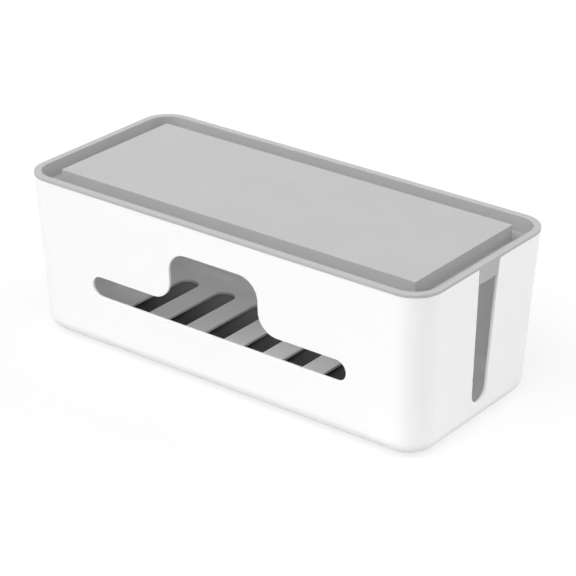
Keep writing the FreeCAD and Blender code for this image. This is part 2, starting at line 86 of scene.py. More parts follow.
away = direction(AZIMUTH, ELEVATION)
right = Vector((math.cos(AZIMUTH), math.sin(AZIMUTH), 0))
up = away.cross(right)
camera_x = math.cos(ROLL) * right + math.sin(ROLL) * up
camera_y = away.cross(camera_x)
print("the camera looks along", [round(v, 3) for v in -away])

# %% The camera itself
DISTANCE = 1.46599
SIDE_STEP, UP_STEP = 0.00508, 0.00106
FOCAL_LENGTH, SENSOR_WIDTH = 139.24, 36

lens = bpy.data.cameras.new("camera")
lens.lens = FOCAL_LENGTH
lens.sensor_width = SENSOR_WIDTH
camera = bpy.data.objects.new("camera", lens)
bpy.context.scene.collection.objects.link(camera)
place = TARGET + DISTANCE * away + SIDE_STEP * camera_x + UP_STEP * camera_y
axes = Matrix((camera_x, camera_y, away)).transposed().to_4x4()
camera.matrix_world = Matrix.Translation(place) @ axes
bpy.context.scene.camera = camera
print("the camera stands at", [round(v, 3) for v in place])

# %% [markdown]
# ## The tub's outside
# The tub is a box whose four sides lean in towards the base, so that it slides off its
# mould. It could be lofted between two rounded outlines, but a block is simpler: its bottom
# face is scaled down, the four upright edges are rounded to 20 mm, and then the edge round
# the bottom. The rounding is put in before the wall, so the wall follows it at one
# thickness, as it does in a mould.

# %% The tub's sizes, and a helper that makes a block
TOP, BASE = tub_high.z / MM, tub_low.z / MM
HALF_LENGTH, HALF_WIDTH = tub_high.x / MM, tub_high.y / MM
END_LEAN, SIDE_LEAN = 4.0, 6.6


def mm(*lengths):
    """Millimetres as a vector in metres."""
    return Vector(lengths) * MM


def take(piece):
    """Makes a piece the only one that is selected, and the active one."""
    bpy.ops.object.select_all(action="DESELECT")
    piece.select_set(True)
    bpy.context.view_layer.objects.active = piece


def block(name, low, high):
    """A box between two corners in millimetres, with its place in its mesh."""
    low, high = mm(*low), mm(*high)
    bpy.ops.object.select_all(action="DESELECT")
    bpy.ops.mesh.primitive_cube_add(size=1, location=(low + high) / 2, scale=high - low)
    bpy.ops.object.transform_apply(location=True, rotation=True, scale=True)
    bpy.context.object.name = name
    return bpy.context.object


print(f"the tub stands from {BASE:.1f} to {TOP:.1f} mm above the table")

# %% Picking parts of a piece, to edit them
def edit(piece, kind, wanted):
    """Enters edit mode with only the vertices, edges or faces selected that wanted accepts."""
    take(piece)
    bpy.ops.object.mode_set(mode="EDIT")
    bpy.ops.mesh.select_mode(type=kind)
    bpy.ops.mesh.select_all(action="DESELECT")
    mesh = bmesh.from_edit_mesh(piece.data)
    parts = {"VERT": mesh.verts, "EDGE": mesh.edges, "FACE": mesh.faces}[kind]
    for part in parts:
        if wanted(part):
            part.select_set(True)
    bmesh.update_edit_mesh(piece.data)


def leave_edit():
    """Back to object mode, which writes the edited mesh."""
    bpy.ops.object.mode_set(mode="OBJECT")


# %% The leaning block
def tub_half(level, inward=0.0):
    """Half the tub's length and width at a height, moved in by a wall or a gap."""
    down = (TOP - level) / (TOP - BASE)
    return HALF_LENGTH - END_LEAN * down - inward, HALF_WIDTH - SIDE_LEAN * down - inward


base_x, base_y = tub_half(BASE)
tub = block("tub_shell", (-HALF_LENGTH, -HALF_WIDTH, BASE), (HALF_LENGTH, HALF_WIDTH, TOP))
edit(tub, "FACE", lambda f: f.normal.z < -0.9)
shrink = (base_x / HALF_LENGTH, base_y / HALF_WIDTH, 1)
bpy.ops.transform.resize(value=shrink, center_override=mm(0, 0, BASE))
leave_edit()
print(f"base of the tub: {2 * base_x:.1f} x {2 * base_y:.1f} mm")

# %% The upright edges, and the edge round the bottom
CORNER_RADIUS = 20
CORNER_SEGMENTS, BOTTOM_SEGMENTS = 16, 12
BOTTOM_REACH = 10.7  # how far up and in the bottom's rounding of 11.2 mm reaches
SHARP = math.radians(40)
WELD = 0.002 * MM
SLACK = 0.01  # how far off, in mm, a place may lie and still count as the same


def round_edges(piece, wanted, reach, segments, mark=-1):
    """Rounds the sharp edges that wanted accepts, given as an edge's two ends in mm.

    The new faces go into the material slot that mark names.
    """
    def both_ends(edge):
        a, b = (v.co / MM for v in edge.verts)
        return edge.calc_face_angle(0) > SHARP and wanted(a, b)

    edit(piece, "EDGE", both_ends)
    bpy.ops.mesh.bevel(offset=reach * MM, segments=segments, affect="EDGES", material=mark)
    bpy.ops.mesh.select_all(action="SELECT")
    bpy.ops.mesh.remove_doubles(threshold=WELD)
    leave_edit()


def along(axis):
    """Accepts edges that run nearly along an axis: 0 for X, 1 for Y, 2 for Z."""
    return lambda a, b: abs((b - a).normalized()[axis]) > 0.9


round_edges(tub, along(2), CORNER_RADIUS, CORNER_SEGMENTS)
round_edges(tub, lambda a, b: max(a.z, b.z) < BASE + SLACK, BOTTOM_REACH, BOTTOM_SEGMENTS)
print("faces of the tub's outside:", len(tub.data.polygons))

# %% [markdown]
# ## The tub's wall
# A moulded wall has one thickness everywhere, here 2.1 mm. The upper face is deleted and
# Solidify grows the wall inwards. It would leave the top edge square to the leaning sides,
# so that edge is pressed flat again, for the lid's rim to rest on.

# %% The wall
WALL = 2.1


def apply_modifier(piece, kind, **settings):
    """Adds a modifier with its settings and applies it."""
    take(piece)
    modifier = piece.modifiers.new(kind.lower(), kind)
    for setting, value in settings.items():
        setattr(modifier, setting, value)
    bpy.ops.object.modifier_apply(modifier=modifier.name)


edit(tub, "FACE", lambda f: f.normal.z > 0.9)
bpy.ops.mesh.delete(type="FACE")
leave_edit()
apply_modifier(
    tub, "SOLIDIFY", thickness=WALL * MM, offset=-1, use_even_offset=True,
    use_quality_normals=True,
)
edit(tub, "VERT", lambda v: v.co.z > (TOP - 0.5) * MM)
bpy.ops.transform.resize(value=(1, 1, 0), center_override=mm(0, 0, TOP))
leave_edit()
print("faces of the tub with its wall:", len(tub.data.polygons))

# %% [markdown]
# ## The window
# The front is open where the plugs and switches of a power strip are reached: a long low
# band with round ends, and a raised middle with round shoulders and feet. A second solid has
# that outline and a Boolean takes it out of the wall. It could be cut by hand with bisects
# in the wall itself, but a solid can be shaped first and keeps its curves round.

# %% The solid that cuts the window
WINDOW_HALF, ARCH_HALF = 103, 35.8
BAND_HEIGHT, ARCH_RISE, WINDOW_DROP = 14.8, 36.6, 21.4
ARCH_RADIUS, BAND_RADIUS = 14.5, BAND_HEIGHT / 2 - SLACK
IN_FRONT, INSIDE = -90, -40  # the cut runs from well before the wall to well behind it
WINDOW_SEGMENTS = 12
band_top = TOP - WINDOW_DROP - ARCH_RISE

window = block(
    "window", (-WINDOW_HALF, IN_FRONT, band_top - BAND_HEIGHT),
    (WINDOW_HALF, INSIDE, band_top),
)
for side in (-ARCH_HALF, ARCH_HALF):
    edit(window, "FACE", lambda f: True)
    bpy.ops.mesh.bisect(plane_co=mm(side, 0, 0), plane_no=(1, 0, 0))
    leave_edit()
edit(window, "FACE", lambda f: f.normal.z > 0.9 and abs(f.calc_center_median().x) < MM)
bpy.ops.mesh.extrude_region_move(TRANSFORM_OT_translate={"value": mm(0, 0, ARCH_RISE)})
leave_edit()
print("faces of the window's solid before rounding:", len(window.data.polygons))

# %% Its round ends, shoulders and feet, and the cut
def combine(piece, other, operation):
    """Cuts or joins another solid and then removes it."""
    apply_modifier(piece, "BOOLEAN", operation=operation, solver="EXACT", object=other)
    bpy.data.objects.remove(other)


runs_back = along(1)
round_edges(
    window, lambda a, b: runs_back(a, b) and abs(a.x) > WINDOW_HALF - 1,
    BAND_RADIUS, WINDOW_SEGMENTS,
)
round_edges(
    window,
    lambda a, b: runs_back(a, b) and abs(abs(a.x) - ARCH_HALF) < 1 and a.z > band_top - 1,
    ARCH_RADIUS, WINDOW_SEGMENTS,
)
combine(tub, window, "DIFFERENCE")
print("faces of the tub with its window:", len(tub.data.polygons))

# %% [markdown]
# ## The cord slots
# Each end has a slot that is open at the top, so that a cord with a plug on it can be laid
# in. It is widest at its mouth, where the corners are rounded, and its bottom is round. The
# lid's tab fills the mouth with a gap of 0.3 mm, so both come from one outline: the slot's
# side leans so that it touches both the round bottom and the round corner of the mouth.

# %% The slot's outline
SLOT_BOTTOM, SLOT_RADIUS = 18.1, 8.25
MOUTH_HALF, MOUTH_RADIUS = 11.35, 2.0
SLOT_SEGMENTS, MOUTH_SEGMENTS = 16, 8
slot_centre = SLOT_BOTTOM + SLOT_RADIUS
corner_y, corner_z = MOUTH_HALF + MOUTH_RADIUS, TOP - MOUTH_RADIUS - slot_centre
spread = math.hypot(corner_y, corner_z)
slot_lean = math.acos((SLOT_RADIUS + MOUTH_RADIUS) / spread) - math.atan2(corner_z, corner_y)


def slot_half(level):
    """Half the slot's width at a height."""
    return (SLOT_RADIUS + (level - slot_centre) * math.sin(slot_lean)) / math.cos(slot_lean)


def slot_block(name, inward, ends, low, high):
    """A block with the slot's cross-section between two heights and two places along X."""
    body = block(name, (ends[0], -1, low), (ends[1], 1, high))
    for level in (low, high):
        edit(body, "VERT", lambda v: abs(v.co.z / MM - level) < SLACK)
        half = slot_half(level) - inward / math.cos(slot_lean)
        bpy.ops.transform.resize(value=(1, half, 1), center_override=mm(0, 0, level))
        leave_edit()
    return body


print(f"the slot's side leans {math.degrees(slot_lean):.2f} degrees")

# %% The flared mouth, and the cut through both ends
FLARE_HEIGHT, FLARE_REACH = 1, 5
PAST_THE_ENDS = (-170, 170)
PAST_THE_TOP = TOP + 0.02


def flare(body, level, radius):
    """Widens a slot's block above a level and rounds the inner corners under it."""
    edit(body, "FACE", lambda f: f.normal.z > 0.9)
    bpy.ops.mesh.extrude_region_move(TRANSFORM_OT_translate={
        "value": mm(0, 0, FLARE_HEIGHT),
    })
    leave_edit()
    under = level * MM
    edit(body, "FACE", lambda f: abs(f.normal.y) > 0.9 and f.calc_center_median().z > under)
    bpy.ops.mesh.extrude_faces_move(TRANSFORM_OT_shrink_fatten={"value": FLARE_REACH * MM})
    leave_edit()
    inner = slot_half(level) + 0.5
    round_edges(
        body,
        lambda a, b: runs_long(a, b) and abs(a.z - level) < SLACK and abs(a.y) < inner,
        radius, MOUTH_SEGMENTS,
    )


runs_long = along(0)
slot = slot_block("slot", 0, PAST_THE_ENDS, SLOT_BOTTOM, PAST_THE_TOP)
flare(slot, PAST_THE_TOP, MOUTH_RADIUS)
round_edges(
    slot, lambda a, b: runs_long(a, b) and a.z < SLOT_BOTTOM + SLACK,
    slot_half(SLOT_BOTTOM) - SLACK, SLOT_SEGMENTS,
)
combine(tub, slot, "DIFFERENCE")
print("faces of the tub with its slots:", len(tub.data.polygons))

# %% [markdown]
# ## The vents and the seats of the feet
# Eight slots in the floor let warm air in under a power strip. One slot is modelled, an
# Array repeats it at an even pitch, and a single cut takes all eight. Round recesses under
# the corners hold the rubber feet, each 0.3 mm wider than its foot all round.

# %% The vents
VENT_COUNT, VENT_X, VENT_HALF_LENGTH, VENT_HALF_WIDTH = 8, 115.9, 51.55, 8.2
VENT_SEGMENTS = 12
UNDER_THE_FLOOR, OVER_THE_FLOOR = BASE - 3, BASE + 5

vents = block(
    "vents", (-VENT_X - VENT_HALF_WIDTH, -VENT_HALF_LENGTH, UNDER_THE_FLOOR),
    (-VENT_X + VENT_HALF_WIDTH, VENT_HALF_LENGTH, OVER_THE_FLOOR),
)
round_edges(vents, along(2), VENT_HALF_WIDTH - SLACK, VENT_SEGMENTS)
pitch = 2 * VENT_X / (VENT_COUNT - 1)
apply_modifier(
    vents, "ARRAY", count=VENT_COUNT, use_relative_offset=False, use_constant_offset=True,
    constant_offset_displace=mm(pitch, 0, 0),
)
combine(tub, vents, "DIFFERENCE")
print(f"vents every {pitch:.2f} mm")

# %% The seats of the feet
SEAT_GAP, SEAT_VERTICES, SEAT_TOOL_DEPTH = 0.3, 48, 2
FEET = sorted(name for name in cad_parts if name.startswith("foot"))

for name in FEET:
    low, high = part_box(name)
    middle = (low + high) / 2
    bpy.ops.object.select_all(action="DESELECT")
    bpy.ops.mesh.primitive_cylinder_add(
        vertices=SEAT_VERTICES, radius=(high.x - low.x) / 2 + SEAT_GAP * MM,
        depth=SEAT_TOOL_DEPTH * MM,
        location=(middle.x, middle.y, high.z - SEAT_TOOL_DEPTH / 2 * MM),
    )
    bpy.ops.object.transform_apply(location=True, rotation=True, scale=True)
    combine(tub, bpy.context.object, "DIFFERENCE")
print("seats cut for", FEET)

# %% [markdown]
# ## The edges of a moulded piece
# No edge of a moulded piece is quite sharp, and a thin bright line along it is what tells
# the eye that it is plastic. A Bevel on every sharp edge makes that line. Its faces are
# remembered in an attribute called edge, so that the material can polish them a little, as
# hands do, and give them a lighter shade, partly wear and partly a painted highlight.
# Weighted normals keep the large faces flat in the light.

# %% Every sharp edge rounded and marked
EDGE_SLOT = 1
TUB_EDGES, TUB_EDGE_SEGMENTS = 0.35, 3


def finish_edges(piece, width, segments):
    """Rounds each sharp edge, evens the shading and marks the rounded faces."""
    edit(piece, "FACE", lambda f: True)
    bpy.ops.mesh.remove_doubles(threshold=WELD)
    leave_edit()
    apply_modifier(
        piece, "BEVEL", width=width * MM, segments=segments, limit_method="ANGLE",
        angle_limit=SHARP, use_clamp_overlap=False, material=EDGE_SLOT,
    )
    take(piece)
    bpy.ops.object.shade_smooth_by_angle(angle=SHARP)
    apply_modifier(piece, "WEIGHTED_NORMAL", keep_sharp=True, weight=80)
    mesh = piece.data
    marks = mesh.attributes.new("edge", "FLOAT", "CORNER").data
    for face in mesh.polygons:
        for corner in face.loop_indices:
            marks[corner].value = float(face.material_index == EDGE_SLOT)
        face.material_index = 0


def two_slots(piece):
    """A slot for the faces and a slot for the rounded edges, both still without a material."""
    for _ in range(2):
        piece.data.materials.append(None)


def describe(piece):
    """Prints how large a piece is and how many faces it has."""
    places = list(zip(*(v.co / MM for v in piece.data.vertices)))
    size = " x ".join(f"{max(values) - min(values):.1f}" for values in places)
    print(f"{piece.name}: {size} mm, {len(piece.data.polygons)} faces")


two_slots(tub)
finish_edges(tub, TUB_EDGES, TUB_EDGE_SEGMENTS)
describe(tub)

# %% The tub takes its place in the model
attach(tub, "tub")
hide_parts("outer_box")
print(f"{tub.name} takes the place of outer_box")

# %% [markdown]
# ## The lid's rim, skirt and tabs
# The lid is one moulding. Its rim rests on the tub's top edge and stands out 0.3 mm all
# round, its skirt drops into the tub with a gap of 0.4 mm, and a tab at each end fills the
# mouth of the cord slot, level with the tub's leaning face. Each part is a solid of its own
# and a Boolean joins them, so that nothing overlaps inside.

# %% The rim and the skirt
RIM_TOP, SKIRT_LOW = lid_high.z / MM, lid_low.z / MM
LID_GAP, SKIRT_WALL, SKIRT_RADIUS = 0.4, 1.35, 17.5
RIM_HALF_LENGTH, RIM_HALF_WIDTH, RIM_RADIUS = lid_high.x / MM, lid_high.y / MM, 20.3


def rounded_block(name, half_length, half_width, radius, low, high):
    """A block about the middle whose four upright edges are rounded."""
    body = block(name, (-half_length, -half_width, low), (half_length, half_width, high))
    round_edges(body, along(2), radius, CORNER_SEGMENTS)
    return body


skirt_x, skirt_y = tub_half(SKIRT_LOW, WALL + LID_GAP)
lid = rounded_block("lid_shell", RIM_HALF_LENGTH, RIM_HALF_WIDTH, RIM_RADIUS, TOP, RIM_TOP)
skirt = rounded_block("skirt", skirt_x, skirt_y, SKIRT_RADIUS, SKIRT_LOW, TOP + 1)
combine(lid, skirt, "UNION")
describe(lid)

# %% The two tabs
TAB_GAP = 0.3
tab_start = skirt_x - SKIRT_WALL / 2

for side in (-1, 1):
    ends = sorted((side * tab_start, side * HALF_LENGTH))
    tab = slot_block("tab", TAB_GAP, ends, SKIRT_LOW, TOP - TAB_GAP)
    flare(tab, TOP - TAB_GAP, MOUTH_RADIUS + TAB_GAP)
    outer, low = (HALF_LENGTH - 1) * MM, (SKIRT_LOW + 1) * MM
    edit(tab, "VERT", lambda v: side * v.co.x > outer and v.co.z < low)
    lean_in = HALF_LENGTH - tub_half(SKIRT_LOW)[0]
    bpy.ops.transform.translate(value=mm(-side * lean_in, 0, 0))
    leave_edit()
    combine(lid, tab, "UNION")
describe(lid)

# %% [markdown]
# ## The groove and the raised middle
# The groove is 11 mm deep with round outer corners and sharp inner ones, where it meets the
# raised middle. That middle is level with the rim and hollow below, for the moulding has one
# thin wall. The groove's solid is a ring: a rounded block less a sharp-cornered one.

# %% The groove, the hollow and the lid's edges
GROOVE_DEPTH, GROOVE_AT_ENDS, GROOVE_AT_FRONT, SKIN = 11.0, 13.9, 14.4, 2.1
TOP_EDGE, OTHER_EDGES = 0.22, 0.13
TOP_EDGE_SEGMENTS, OTHER_EDGE_SEGMENTS = 4, 2

groove_x, groove_y = skirt_x - SKIRT_WALL, skirt_y - SKIRT_WALL
middle_x, middle_y = groove_x - GROOVE_AT_ENDS, groove_y - GROOVE_AT_FRONT
groove = rounded_block(
    "groove", groove_x, groove_y, SKIRT_RADIUS - SKIRT_WALL,
    RIM_TOP - GROOVE_DEPTH, RIM_TOP + 1,
)
raised = block("raised", (-middle_x, -middle_y, SKIRT_LOW), (middle_x, middle_y, RIM_TOP + 2))
combine(groove, raised, "DIFFERENCE")
combine(lid, groove, "DIFFERENCE")
hollow = block(
    "hollow", (SKIN - middle_x, SKIN - middle_y, SKIRT_LOW - 1),
    (middle_x - SKIN, middle_y - SKIN, RIM_TOP - SKIN),
)
combine(lid, hollow, "DIFFERENCE")
two_slots(lid)
round_edges(
    lid, lambda a, b: min(a.z, b.z) > RIM_TOP - SLACK, TOP_EDGE, TOP_EDGE_SEGMENTS,
    mark=EDGE_SLOT,
)
finish_edges(lid, OTHER_EDGES, OTHER_EDGE_SEGMENTS)
describe(lid)

# %% The lid takes its place in the model
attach(lid, "lid")
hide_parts("lid")
print(f"{lid.name} takes the place of lid")

# %% [markdown]
# ## What a moulded surface is made of
# Three effects are shared by the two plastics and the rubber, so each is a node group that
# is built once. The grain is the fine dull texture that spark erosion leaves in the mould.
# The drift is a slow, faint change of shade and gloss, as the plastic flowed and cooled and
# as hands have touched it. The rub is the polish and the lighter shade on the rounded edges,
# partly wear and partly a painted highlight, broken up so that it doesn't look drawn. All of
# them are read in object space, so they stay on the piece.

# %% Helpers for node groups
def new_group(name, inputs, outputs):
    """A shader node group with named inputs and outputs, and its two end nodes."""
    group = bpy.data.node_groups.new(name, "ShaderNodeTree")
    for socket, kind, value in inputs:
        made = group.interface.new_socket(socket, in_out="INPUT", socket_type=kind)
        if value is not None:
            made.default_value = value
    for socket in outputs:
        group.interface.new_socket(socket, in_out="OUTPUT", socket_type="NodeSocketFloat")
    return group, group.nodes.new("NodeGroupInput"), group.nodes.new("NodeGroupOutput")


def add(tree, kind, **settings):
    """A new node with its settings."""
    node = tree.nodes.new(kind)
    for name, value in settings.items():
        setattr(node, name, value)
    return node


def feed(tree, node, values):
    """Sets a node's inputs: an output is linked, and anything else is set as a value."""
    for socket, value in values.items():
        if isinstance(value, bpy.types.NodeSocket):
            tree.links.new(value, node.inputs[socket])
        else:
            node.inputs[socket].default_value = value


def math_node(tree, operation, *values):
    """The result of a Math node whose inputs are numbers or other nodes' outputs."""
    node = add(tree, "ShaderNodeMath", operation=operation)
    feed(tree, node, dict(enumerate(values)))
    return node.outputs[0]


PER_METRE = 1 / MM  # turns a size in mm into a texture's scale
print(f"a pattern of 1 mm has scale {PER_METRE:.0f}")

# %% The grain
grain, ends_in, ends_out = new_group(
    "mould_grain",
    [("Position", "NodeSocketVector", None), ("Size in mm", "NodeSocketFloat", 0.4)],
    ["Height", "Fine"],
)
scale = math_node(grain, "DIVIDE", PER_METRE, ends_in.outputs["Size in mm"])
laid_out = {"Vector": ends_in.outputs["Position"], "Scale": scale}
coarse = add(grain, "ShaderNodeTexNoise")
feed(grain, coarse, {**laid_out, "Detail": 2.0, "Roughness": 0.6})
pits = add(grain, "ShaderNodeTexVoronoi", feature="SMOOTH_F1")
feed(grain, pits, {**laid_out, "Smoothness": 0.6})
deeper = math_node(grain, "ADD", pits.outputs["Distance"], 0.5)
height = math_node(grain, "MULTIPLY", coarse.outputs["Fac"], deeper)
feed(grain, ends_out, {"Height": height, "Fine": coarse.outputs["Fac"]})
print("inputs of the grain:", [s.name for s in ends_in.outputs if s.name])

# %% The drift of shade and gloss
DRIFT_SIZE = 60.0
SMEARS_FINER = 2.7  # how many times finer the touched smears are than the drift

drift, ends_in, ends_out = new_group(
    "slow_drift",
    [("Position", "NodeSocketVector", None), ("Size in mm", "NodeSocketFloat", DRIFT_SIZE)],
    ["Shade", "Touched"],
)
scale = math_node(drift, "DIVIDE", PER_METRE, ends_in.outputs["Size in mm"])
finer = math_node(drift, "MULTIPLY", scale, SMEARS_FINER)
at_place = {"Vector": ends_in.outputs["Position"]}
cloud = add(drift, "ShaderNodeTexNoise")
feed(drift, cloud, {**at_place, "Scale": scale, "Detail": 3.0, "Roughness": 0.55})
smear = add(drift, "ShaderNodeTexNoise")
feed(drift, smear, {**at_place, "Scale": finer, "Detail": 4.0, "Distortion": 0.8})
touched = add(drift, "ShaderNodeMapRange", interpolation_type="SMOOTHSTEP")
feed(drift, touched, {"Value": smear.outputs["Fac"], "From Min": 0.45, "From Max": 0.75})
feed(drift, ends_out, {"Shade": cloud.outputs["Fac"], "Touched": touched.outputs["Result"]})
print("outputs of the drift:", [s.name for s in ends_out.inputs if s.name])

# %% The rub on the edges, partly wear and partly a painted highlight
PATCHES_PER_MM = 0.12

rub, ends_in, ends_out = new_group(
    "edge_rub_and_highlight",
    [("Position", "NodeSocketVector", None), ("Amount", "NodeSocketFloat", 0.5)],
    ["Mask"],
)
edge = add(rub, "ShaderNodeAttribute", attribute_name="edge")
patches = add(rub, "ShaderNodeTexNoise")
feed(rub, patches, {
    "Vector": ends_in.outputs["Position"], "Scale": PATCHES_PER_MM * PER_METRE, "Detail": 3.0,
})
broken = add(rub, "ShaderNodeMapRange", interpolation_type="SMOOTHSTEP")
feed(rub, broken, {
    "Value": patches.outputs["Fac"], "From Min": 0.3, "From Max": 0.7, "To Min": 0.35,
})
mask = math_node(rub, "MULTIPLY", edge.outputs["Fac"], broken.outputs["Result"])
feed(rub, ends_out, {"Mask": math_node(rub, "MULTIPLY", mask, ends_in.outputs["Amount"])})
print("effects:", [group.name for group in (grain, drift, rub)])

# %% [markdown]
# ## The three finishes
# All three are one kind of surface with other numbers: satin white plastic, matte grey
# plastic and dull dark grey rubber. One function lays out the nodes, and each finish states
# its own two shades, gloss and grain. What is the same all over a piece sits on the shader
# itself, and only what changes over it comes from nodes.

# %% The effects in a material, and mixing what they give
def place_effects(tree, grain_size, rub_amount):
    """The three effects placed in a material: all their outputs, by name."""
    position = add(tree, "ShaderNodeTexCoord").outputs["Object"]
    own_values = (
        (grain, {"Size in mm": grain_size}),
        (drift, {"Size in mm": DRIFT_SIZE}),
        (rub, {"Amount": rub_amount}),
    )
    effects = {}
    for group, values in own_values:
        node = add(tree, "ShaderNodeGroup", node_tree=group)
        feed(tree, node, {"Position": position, **values})
        effects.update({output.name: output for output in node.outputs})
    return effects


def blend_shades(tree, factor, first, second):
    """A colour between two, each given as a grey or as another node's colour."""
    node = add(tree, "ShaderNodeMix", data_type="RGBA")
    for socket, shade in ((6, first), (7, second)):
        is_output = isinstance(shade, bpy.types.NodeSocket)
        feed(tree, node, {socket: shade if is_output else (shade, shade, shade, 1)})
    feed(tree, node, {0: factor})
    return node.outputs[2]


def add_up(tree, first, share, second, other_share):
    """Two outputs added up, each times its share."""
    return math_node(
        tree, "ADD", math_node(tree, "MULTIPLY", first, share),
        math_node(tree, "MULTIPLY", second, other_share),
    )


# %% The shade and the roughness over a piece
DRIFT_IN_SHADE, GRAIN_IN_SHADE = 0.7, 0.3
GRAIN_IN_GLOSS, TOUCH_IN_GLOSS = 0.6, -0.4
LEAST_GLOSS, MOST_GLOSS = -0.1, 0.4


def shade_over(tree, effects, shades, rubbed_and_highlight_shade):
    """A drifting colour of two shades, a third on rubbed edges: wear and a painted highlight.
    """
    shade = add_up(tree, effects["Shade"], DRIFT_IN_SHADE, effects["Fine"], GRAIN_IN_SHADE)
    colour = blend_shades(tree, shade, *shades)
    return blend_shades(tree, effects["Mask"], colour, rubbed_and_highlight_shade)


def roughness_over(tree, effects, roughness, polish):
    """A roughness that is less where hands have touched, and less again on rubbed edges."""
    gloss = add(tree, "ShaderNodeMapRange")
    feed(tree, gloss, {
        "Value": add_up(
            tree, effects["Fine"], GRAIN_IN_GLOSS, effects["Touched"], TOUCH_IN_GLOSS,
        ),
        "From Min": LEAST_GLOSS, "From Max": MOST_GLOSS,
        "To Min": roughness[0], "To Max": roughness[1],
    })
    smoother = math_node(tree, "MULTIPLY", effects["Mask"], polish)
    return math_node(tree, "SUBTRACT", gloss.outputs["Result"], smoother)


# %% A finish from its numbers
BUMP_STRENGTH = 0.5


def finish(name, shades, rubbed_and_highlight_shade, roughness, polish, grain_size, grain_depth, rub_amount):
    """A moulded surface: its shades and roughness run between two values over the piece.

    The grain's size and depth are in mm, and polish is how much smoother a rubbed edge is.
    """
    material = bpy.data.materials.new(name)
    material.use_nodes = True
    tree = material.node_tree
    effects = place_effects(tree, grain_size, rub_amount)
    bump = add(tree, "ShaderNodeBump")
    feed(tree, bump, {
        "Height": effects["Height"], "Strength": BUMP_STRENGTH, "Distance": grain_depth * MM,
    })
    feed(tree, tree.nodes["Principled BSDF"], {
        "Base Color": shade_over(tree, effects, shades, rubbed_and_highlight_shade),
        "Roughness": roughness_over(tree, effects, roughness, polish),
        "Normal": bump.outputs["Normal"],
    })
    return material


# %% The white plastic, the grey plastic and the rubber
# Each rubbed shade is lighter than the piece: partly wear, partly a painted highlight on edges.
white_plastic = finish(
    "satin_white_plastic", shades=(0.872, 0.890), rubbed_and_highlight_shade=0.900, roughness=(0.36, 0.50),
    polish=0.10, grain_size=0.35, grain_depth=0.020, rub_amount=0.5,
)
grey_plastic = finish(
    "matte_grey_plastic", shades=(0.415, 0.425), rubbed_and_highlight_shade=0.445, roughness=(0.44, 0.58),
    polish=0.12, grain_size=0.30, grain_depth=0.025, rub_amount=0.5,
)
rubber = finish(
    "dull_grey_rubber", shades=(0.13, 0.16), rubbed_and_highlight_shade=0.20, roughness=(0.62, 0.80),
    polish=0.10, grain_size=0.50, grain_depth=0.040, rub_amount=0.5,
)

for piece, material in ((tub, white_plastic), (lid, grey_plastic)):
    piece.data.materials.clear()
    piece.data.materials.append(material)
for name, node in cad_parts.items():
    node.data.materials.clear()
    node.data.materials.append(rubber if name in FEET else white_plastic)
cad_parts["lid"].data.materials[0] = grey_plastic
print("finishes:", white_plastic.name, grey_plastic.name, rubber.name)

# %% [markdown]
# ## The floor
# A plain pale floor that runs far past the picture, so nothing but the box has an edge. The
# lens and the gloss of the plastic see it mostly as plain white, with a little of the light
# that really falls on it, and that little keeps the box's soft shadow. To all other light it
# is a softer grey, or it would throw more light on the walls than the lamps do. Under the box
# its colour is a painted shade, dark for the shade there, since hardly any light gets through
# the 2 mm under the feet, and the vents show it. A dark sheet could lie there, but a painted
# shade in the floor's own material has a soft border.

# %% The floor's shape
FLOOR_RADIUS, FLOOR_VERTICES = 6, 96

bpy.ops.object.select_all(action="DESELECT")
bpy.ops.mesh.primitive_circle_add(
    vertices=FLOOR_VERTICES, radius=FLOOR_RADIUS, fill_type="NGON",
)
floor = bpy.context.object
floor.name = "floor"
print("floor:", FLOOR_RADIUS, "m round the box")

# %% The painted shade under the box
UNDER_BOX_HALF_LENGTH, UNDER_BOX_HALF_WIDTH, UNDER_BOX_BACK = 0.142, 0.057, 0.006
UNDER_BOX_CORNER, UNDER_BOX_FADE = 0.015, 0.007

floor_material = bpy.data.materials.new("pale_floor")
floor_material.use_nodes = True
floor_tree = floor_material.node_tree
spot = add(floor_tree, "ShaderNodeSeparateXYZ")
feed(floor_tree, spot, {0: add(floor_tree, "ShaderNodeTexCoord").outputs["Object"]})


def past(coordinate, middle, reach):
    """How far the floor lies outside a band about its middle, and 0 inside the band."""
    offset = math_node(floor_tree, "SUBTRACT", coordinate, middle)
    beyond = math_node(floor_tree, "SUBTRACT", math_node(floor_tree, "ABSOLUTE", offset), reach)
    return math_node(floor_tree, "MAXIMUM", beyond, 0.0)


past_end = past(spot.outputs["X"], 0.0, UNDER_BOX_HALF_LENGTH - UNDER_BOX_CORNER)
past_side = past(
    spot.outputs["Y"], UNDER_BOX_BACK, UNDER_BOX_HALF_WIDTH - UNDER_BOX_CORNER,
)
from_corner = math_node(floor_tree, "SQRT", math_node(
    floor_tree, "ADD", math_node(floor_tree, "MULTIPLY", past_end, past_end),
    math_node(floor_tree, "MULTIPLY", past_side, past_side),
))
# 1 out on the floor and 0 under the box, where the shade is painted, with a soft border.
fade = add(floor_tree, "ShaderNodeMapRange", interpolation_type="SMOOTHSTEP")
feed(floor_tree, fade, {
    "Value": from_corner,
    "From Min": UNDER_BOX_CORNER - UNDER_BOX_FADE, "From Max": UNDER_BOX_CORNER,
})
pale_past_painted_shade = fade.outputs["Result"]
print("half the dark place in mm:", UNDER_BOX_HALF_LENGTH / MM, "x", UNDER_BOX_HALF_WIDTH / MM)

# %% A little painted light under the back of the box, for light that creeps in there
CREEP_START, CREEP_END, PAINTED_CREEP_SHARE = 0.005, 0.055, 0.08

